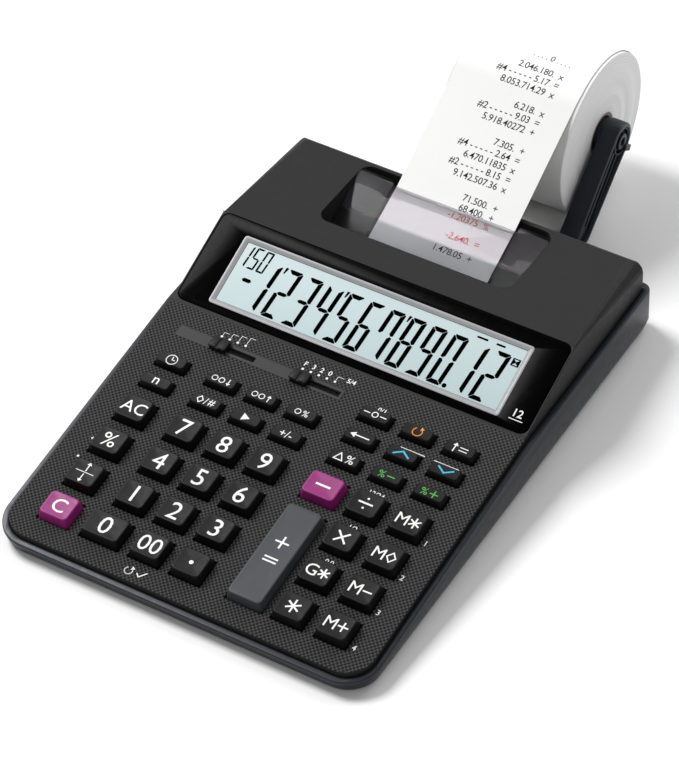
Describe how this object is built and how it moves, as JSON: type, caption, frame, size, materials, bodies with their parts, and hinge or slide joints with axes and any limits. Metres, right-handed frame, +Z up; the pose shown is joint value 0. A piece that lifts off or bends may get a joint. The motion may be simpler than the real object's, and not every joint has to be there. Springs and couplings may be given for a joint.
{
  "type": "desk printing calculator",
  "caption": "Desk printing calculator with a keypad deck, tilted liquid-crystal display, two slide switches, a printer under a clear cutter panel and a paper roll on two rear arms.",
  "frame": {"origin": "on the desk, under the middle of the object", "axes": "+X to the right of a person at the keys, +Y away from them towards the paper roll, +Z up"},
  "size_m": [0.195, 0.372, 0.0853],
  "materials": {
    "lower_shell": "satin moulded, dark blue-black",
    "upper_shell": "fine satin grain, charcoal, woven relief on the deck",
    "gloss_panel": "polished black",
    "lcd_glass": "pale cyan display glass",
    "rubber_mat": "matt",
    "circuit_board": "solder mask",
    "printer_plastic": "matt",
    "roller_rubber": "matt",
    "ink_felt": "felt",
    "clear_panel": "smoked clear",
    "paper": "plain bond paper",
    "arm_plastic": "satin, dark blue-grey",
    "key_black": "satin, light edges",
    "key_magenta": "satin",
    "key_grey": "satin",
    "switch_plastic": "satin"
  },
  "bodies": {
    "case": {"lower_case": "lower_shell", "upper_case": "upper_shell", "display_bezel": "gloss_panel", "lcd_panel": "lcd_glass", "key_mat": "rubber_mat", "main_board": "circuit_board", "printer_frame": "printer_plastic", "paper_cutter": "clear_panel", "paper_tape": "paper"},
    "feed_roller": {"feed_roller": "roller_rubber"},
    "ink_roller": {"ink_roller": "ink_felt"},
    "paper_roll": {"paper_roll": "paper"},
    "left_arm": {"left_paper_arm": "arm_plastic"},
    "right_arm": {"right_paper_arm": "arm_plastic"},
    "battery_cover": {"battery_cover": "lower_shell"},
    "mode_switch": {"mode_switch": "switch_plastic"},
    "decimal_switch": {"decimal_switch": "switch_plastic"},
    "key_clear": {"key_clear": "key_magenta"},
    "key_mark_up": {"key_mark_up": "key_black"},
    "key_percent": {"key_percent": "key_black"},
    "key_clear_all": {"key_clear_all": "key_black"},
    "key_zero": {"key_zero": "key_black"},
    "key_double_zero": {"key_double_zero": "key_black"},
    "key_point": {"key_point": "key_black"},
    "key_one": {"key_one": "key_black"},
    "key_two": {"key_two": "key_black"},
    "key_three": {"key_three": "key_black"},
    "key_four": {"key_four": "key_black"},
    "key_five": {"key_five": "key_black"},
    "key_six": {"key_six": "key_black"},
    "key_seven": {"key_seven": "key_black"},
    "key_eight": {"key_eight": "key_black"},
    "key_nine": {"key_nine": "key_black"},
    "key_plus_equals": {"key_plus_equals": "key_grey"},
    "key_minus": {"key_minus": "key_magenta"},
    "key_total": {"key_total": "key_black"},
    "key_grand_total": {"key_grand_total": "key_black"},
    "key_multiply": {"key_multiply": "key_black"},
    "key_divide": {"key_divide": "key_black"},
    "key_memory_plus": {"key_memory_plus": "key_black"},
    "key_memory_minus": {"key_memory_minus": "key_black"},
    "key_memory_subtotal": {"key_memory_subtotal": "key_black"},
    "key_memory_total": {"key_memory_total": "key_black"},
    "key_item_count": {"key_item_count": "key_black"},
    "key_time": {"key_time": "key_black"},
    "key_date": {"key_date": "key_black"},
    "key_step": {"key_step": "key_black"},
    "key_sign": {"key_sign": "key_black"},
    "key_cost": {"key_cost": "key_black"},
    "key_sell": {"key_sell": "key_black"},
    "key_margin": {"key_margin": "key_black"},
    "key_delta_percent": {"key_delta_percent": "key_black"},
    "key_correct": {"key_correct": "key_black"},
    "key_print": {"key_print": "key_black"},
    "key_tax_minus": {"key_tax_minus": "key_black"},
    "key_check_up": {"key_check_up": "key_black"},
    "key_reprint": {"key_reprint": "key_black"},
    "key_tax_plus": {"key_tax_plus": "key_black"},
    "key_check_down": {"key_check_down": "key_black"},
    "key_feed": {"key_feed": "key_black"}
  },
  "joints": [
    {"name": "key_clear_press", "type": "slide", "parent": "case", "child": "key_clear", "axis": [0, 0.1114, -0.9938], "range_m": [0, 0.0018], "stiffness_N_per_m": 250, "springref_m": -0.0015},
    {"name": "key_mark_up_press", "type": "slide", "parent": "case", "child": "key_mark_up", "axis": [0, 0.1114, -0.9938], "range_m": [0, 0.0018], "stiffness_N_per_m": 250, "springref_m": -0.0015},
    {"name": "key_percent_press", "type": "slide", "parent": "case", "child": "key_percent", "axis": [0, 0.1114, -0.9938], "range_m": [0, 0.0018], "stiffness_N_per_m": 250, "springref_m": -0.0015},
    {"name": "key_clear_all_press", "type": "slide", "parent": "case", "child": "key_clear_all", "axis": [0, 0.1114, -0.9938], "range_m": [0, 0.0018], "stiffness_N_per_m": 250, "springref_m": -0.0015},
    {"name": "key_zero_press", "type": "slide", "parent": "case", "child": "key_zero", "axis": [0, 0.1114, -0.9938], "range_m": [0, 0.0018], "stiffness_N_per_m": 250, "springref_m": -0.0015},
    {"name": "key_double_zero_press", "type": "slide", "parent": "case", "child": "key_double_zero", "axis": [0, 0.1114, -0.9938], "range_m": [0, 0.0018], "stiffness_N_per_m": 250, "springref_m": -0.0015},
    {"name": "key_point_press", "type": "slide", "parent": "case", "child": "key_point", "axis": [0, 0.1114, -0.9938], "range_m": [0, 0.0018], "stiffness_N_per_m": 250, "springref_m": -0.0015},
    {"name": "key_one_press", "type": "slide", "parent": "case", "child": "key_one", "axis": [0, 0.1114, -0.9938], "range_m": [0, 0.0018], "stiffness_N_per_m": 250, "springref_m": -0.0015},
    {"name": "key_two_press", "type": "slide", "parent": "case", "child": "key_two", "axis": [0, 0.1114, -0.9938], "range_m": [0, 0.0018], "stiffness_N_per_m": 250, "springref_m": -0.0015},
    {"name": "key_three_press", "type": "slide", "parent": "case", "child": "key_three", "axis": [0, 0.1114, -0.9938], "range_m": [0, 0.0018], "stiffness_N_per_m": 250, "springref_m": -0.0015},
    {"name": "key_four_press", "type": "slide", "parent": "case", "child": "key_four", "axis": [0, 0.1114, -0.9938], "range_m": [0, 0.0018], "stiffness_N_per_m": 250, "springref_m": -0.0015},
    {"name": "key_five_press", "type": "slide", "parent": "case", "child": "key_five", "axis": [0, 0.1114, -0.9938], "range_m": [0, 0.0018], "stiffness_N_per_m": 250, "springref_m": -0.0015},
    {"name": "key_six_press", "type": "slide", "parent": "case", "child": "key_six", "axis": [0, 0.1114, -0.9938], "range_m": [0, 0.0018], "stiffness_N_per_m": 250, "springref_m": -0.0015},
    {"name": "key_seven_press", "type": "slide", "parent": "case", "child": "key_seven", "axis": [0, 0.1114, -0.9938], "range_m": [0, 0.0018], "stiffness_N_per_m": 250, "springref_m": -0.0015},
    {"name": "key_eight_press", "type": "slide", "parent": "case", "child": "key_eight", "axis": [0, 0.1114, -0.9938], "range_m": [0, 0.0018], "stiffness_N_per_m": 250, "springref_m": -0.0015},
    {"name": "key_nine_press", "type": "slide", "parent": "case", "child": "key_nine", "axis": [0, 0.1114, -0.9938], "range_m": [0, 0.0018], "stiffness_N_per_m": 250, "springref_m": -0.0015},
    {"name": "key_plus_equals_press", "type": "slide", "parent": "case", "child": "key_plus_equals", "axis": [0, 0.1114, -0.9938], "range_m": [0, 0.0018], "stiffness_N_per_m": 250, "springref_m": -0.0015},
    {"name": "key_minus_press", "type": "slide", "parent": "case", "child": "key_minus", "axis": [0, 0.1114, -0.9938], "range_m": [0, 0.0018], "stiffness_N_per_m": 250, "springref_m": -0.0015},
    {"name": "key_total_press", "type": "slide", "parent": "case", "child": "key_total", "axis": [0, 0.1114, -0.9938], "range_m": [0, 0.0018], "stiffness_N_per_m": 250, "springref_m": -0.0015},
    {"name": "key_grand_total_press", "type": "slide", "parent": "case", "child": "key_grand_total", "axis": [0, 0.1114, -0.9938], "range_m": [0, 0.0018], "stiffness_N_per_m": 250, "springref_m": -0.0015},
    {"name": "key_multiply_press", "type": "slide", "parent": "case", "child": "key_multiply", "axis": [0, 0.1114, -0.9938], "range_m": [0, 0.0018], "stiffness_N_per_m": 250, "springref_m": -0.0015},
    {"name": "key_divide_press", "type": "slide", "parent": "case", "child": "key_divide", "axis": [0, 0.1114, -0.9938], "range_m": [0, 0.0018], "stiffness_N_per_m": 250, "springref_m": -0.0015},
    {"name": "key_memory_plus_press", "type": "slide", "parent": "case", "child": "key_memory_plus", "axis": [0, 0.1114, -0.9938], "range_m": [0, 0.0018], "stiffness_N_per_m": 250, "springref_m": -0.0015},
    {"name": "key_memory_minus_press", "type": "slide", "parent": "case", "child": "key_memory_minus", "axis": [0, 0.1114, -0.9938], "range_m": [0, 0.0018], "stiffness_N_per_m": 250, "springref_m": -0.0015},
    {"name": "key_memory_subtotal_press", "type": "slide", "parent": "case", "child": "key_memory_subtotal", "axis": [0, 0.1114, -0.9938], "range_m": [0, 0.0018], "stiffness_N_per_m": 250, "springref_m": -0.0015},
    {"name": "key_memory_total_press", "type": "slide", "parent": "case", "child": "key_memory_total", "axis": [0, 0.1114, -0.9938], "range_m": [0, 0.0018], "stiffness_N_per_m": 250, "springref_m": -0.0015},
    {"name": "key_item_count_press", "type": "slide", "parent": "case", "child": "key_item_count", "axis": [0, 0.1114, -0.9938], "range_m": [0, 0.0018], "stiffness_N_per_m": 250, "springref_m": -0.0015},
    {"name": "key_time_press", "type": "slide", "parent": "case", "child": "key_time", "axis": [0, 0.1114, -0.9938], "range_m": [0, 0.0018], "stiffness_N_per_m": 250, "springref_m": -0.0015},
    {"name": "key_date_press", "type": "slide", "parent": "case", "child": "key_date", "axis": [0, 0.1114, -0.9938], "range_m": [0, 0.0018], "stiffness_N_per_m": 250, "springref_m": -0.0015},
    {"name": "key_step_press", "type": "slide", "parent": "case", "child": "key_step", "axis": [0, 0.1114, -0.9938], "range_m": [0, 0.0018], "stiffness_N_per_m": 250, "springref_m": -0.0015},
    {"name": "key_sign_press", "type": "slide", "parent": "case", "child": "key_sign", "axis": [0, 0.1114, -0.9938], "range_m": [0, 0.0018], "stiffness_N_per_m": 250, "springref_m": -0.0015},
    {"name": "key_cost_press", "type": "slide", "parent": "case", "child": "key_cost", "axis": [0, 0.1114, -0.9938], "range_m": [0, 0.0018], "stiffness_N_per_m": 250, "springref_m": -0.0015},
    {"name": "key_sell_press", "type": "slide", "parent": "case", "child": "key_sell", "axis": [0, 0.1114, -0.9938], "range_m": [0, 0.0018], "stiffness_N_per_m": 250, "springref_m": -0.0015},
    {"name": "key_margin_press", "type": "slide", "parent": "case", "child": "key_margin", "axis": [0, 0.1114, -0.9938], "range_m": [0, 0.0018], "stiffness_N_per_m": 250, "springref_m": -0.0015},
    {"name": "key_delta_percent_press", "type": "slide", "parent": "case", "child": "key_delta_percent", "axis": [0, 0.1114, -0.9938], "range_m": [0, 0.0018], "stiffness_N_per_m": 250, "springref_m": -0.0015},
    {"name": "key_correct_press", "type": "slide", "parent": "case", "child": "key_correct", "axis": [0, 0.1114, -0.9938], "range_m": [0, 0.0018], "stiffness_N_per_m": 250, "springref_m": -0.0015},
    {"name": "key_print_press", "type": "slide", "parent": "case", "child": "key_print", "axis": [0, 0.1114, -0.9938], "range_m": [0, 0.0018], "stiffness_N_per_m": 250, "springref_m": -0.0015},
    {"name": "key_tax_minus_press", "type": "slide", "parent": "case", "child": "key_tax_minus", "axis": [0, 0.1114, -0.9938], "range_m": [0, 0.0018], "stiffness_N_per_m": 250, "springref_m": -0.0015},
    {"name": "key_check_up_press", "type": "slide", "parent": "case", "child": "key_check_up", "axis": [0, 0.1114, -0.9938], "range_m": [0, 0.0018], "stiffness_N_per_m": 250, "springref_m": -0.0015},
    {"name": "key_reprint_press", "type": "slide", "parent": "case", "child": "key_reprint", "axis": [0, 0.1114, -0.9938], "range_m": [0, 0.0018], "stiffness_N_per_m": 250, "springref_m": -0.0015},
    {"name": "key_tax_plus_press", "type": "slide", "parent": "case", "child": "key_tax_plus", "axis": [0, 0.1114, -0.9938], "range_m": [0, 0.0018], "stiffness_N_per_m": 250, "springref_m": -0.0015},
    {"name": "key_check_down_press", "type": "slide", "parent": "case", "child": "key_check_down", "axis": [0, 0.1114, -0.9938], "range_m": [0, 0.0018], "stiffness_N_per_m": 250, "springref_m": -0.0015},
    {"name": "key_feed_press", "type": "slide", "parent": "case", "child": "key_feed", "axis": [0, 0.1114, -0.9938], "range_m": [0, 0.0018], "stiffness_N_per_m": 250, "springref_m": -0.0015},
    {"name": "mode_switch_slide", "type": "slide", "parent": "case", "child": "mode_switch", "axis": [1, 0, 0], "range_m": [0, 0.013]},
    {"name": "decimal_switch_slide", "type": "slide", "parent": "case", "child": "decimal_switch", "axis": [1, 0, 0], "range_m": [0, 0.015]},
    {"name": "feed_roller_spin", "type": "hinge", "parent": "case", "child": "feed_roller", "pos_m": [-0.0025, 0.03677, 0.02159], "axis": [1, 0, 0], "continuous": true},
    {"name": "ink_roller_spin", "type": "hinge", "parent": "case", "child": "ink_roller", "pos_m": [-0.0025, 0.05377, 0.02309], "axis": [1, 0, 0], "continuous": true},
    {"name": "paper_roll_spin", "type": "hinge", "parent": "case", "child": "paper_roll", "pos_m": [0.0022, 0.145, 0.0437], "axis": [1, 0, 0], "continuous": true},
    {"name": "left_arm_spread", "type": "hinge", "parent": "case", "child": "left_arm", "pos_m": [-0.0385, 0.093, 0.0102], "axis": [0, 0, 1], "range_deg": [0, 9], "stiffness_Nm_per_rad": 0.3},
    {"name": "right_arm_spread", "type": "hinge", "parent": "case", "child": "right_arm", "pos_m": [0.0429, 0.093, 0.0102], "axis": [0, 0, 1], "range_deg": [-9, 0], "stiffness_Nm_per_rad": 0.3},
    {"name": "battery_cover_drop", "type": "slide", "parent": "case", "child": "battery_cover", "axis": [0, 0, -1], "range_m": [0, 0.012]}
  ]
}
